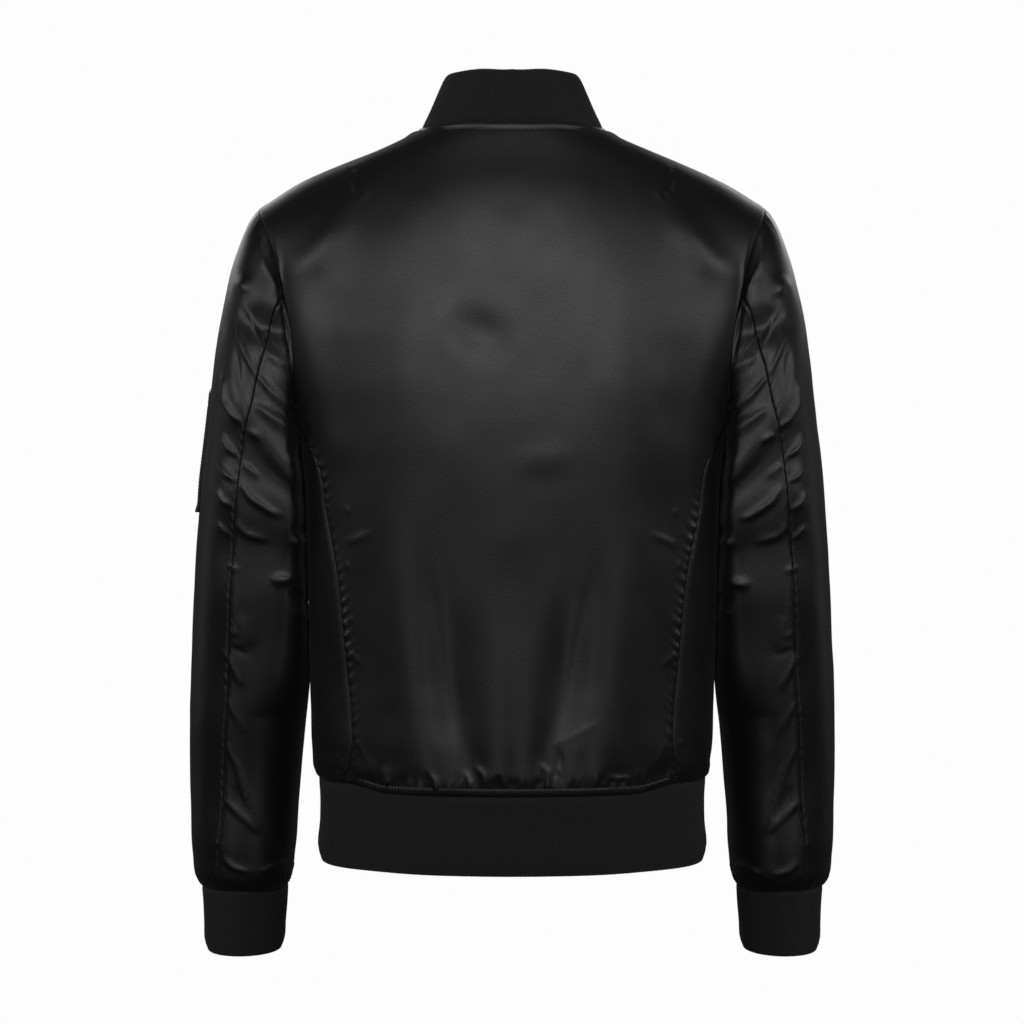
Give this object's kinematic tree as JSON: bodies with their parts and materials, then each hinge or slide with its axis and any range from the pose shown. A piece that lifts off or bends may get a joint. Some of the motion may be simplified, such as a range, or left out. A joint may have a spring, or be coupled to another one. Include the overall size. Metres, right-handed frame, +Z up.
{
  "type": "bomber jacket",
  "caption": "Black satin bomber jacket with set-in sleeves, knit rib collar, cuffs and hem band, a pocket on the left sleeve and a front zip, filled out and hollow.",
  "frame": {"origin": "middle of the neck opening, level with the tops of the shoulders, where the wearer's shoulders hold the jacket", "axes": "+Z up, +Y out of the back, so the front faces -Y and the wearer's left is +X"},
  "size_m": [0.5762, 0.2455, 0.7757],
  "materials": {
    "satin": "smooth black polyester satin with a soft sheen",
    "rib": "matt black knit rib",
    "zip_tape": "black woven zip tape",
    "zip_metal": "dark gunmetal"
  },
  "bodies": {
    "jacket": {"back_panel": "satin", "front_left": "satin", "front_right": "satin", "side_panel_left": "satin", "side_panel_right": "satin", "upper_sleeve_left": "satin", "upper_sleeve_right": "satin", "under_sleeve_left": "satin", "under_sleeve_right": "satin", "sleeve_pocket": "satin", "hem_rib": "rib", "collar_rib": "rib", "cuff_left": "rib", "cuff_right": "rib", "zip_tape_left": "zip_tape", "zip_tape_right": "zip_tape", "zip_chain": "zip_metal", "zip_retainer_box": "zip_metal", "zip_slider": "zip_metal"},
    "pull_tab": {"zip_pull_tab": "zip_metal"}
  },
  "joints": [
    {"name": "pull_tab_swing", "type": "hinge", "parent": "jacket", "child": "pull_tab", "pos_m": [0, -0.09127, -0.08257], "axis": [-1, 0, 0], "range_deg": [0, 150]}
  ]
}
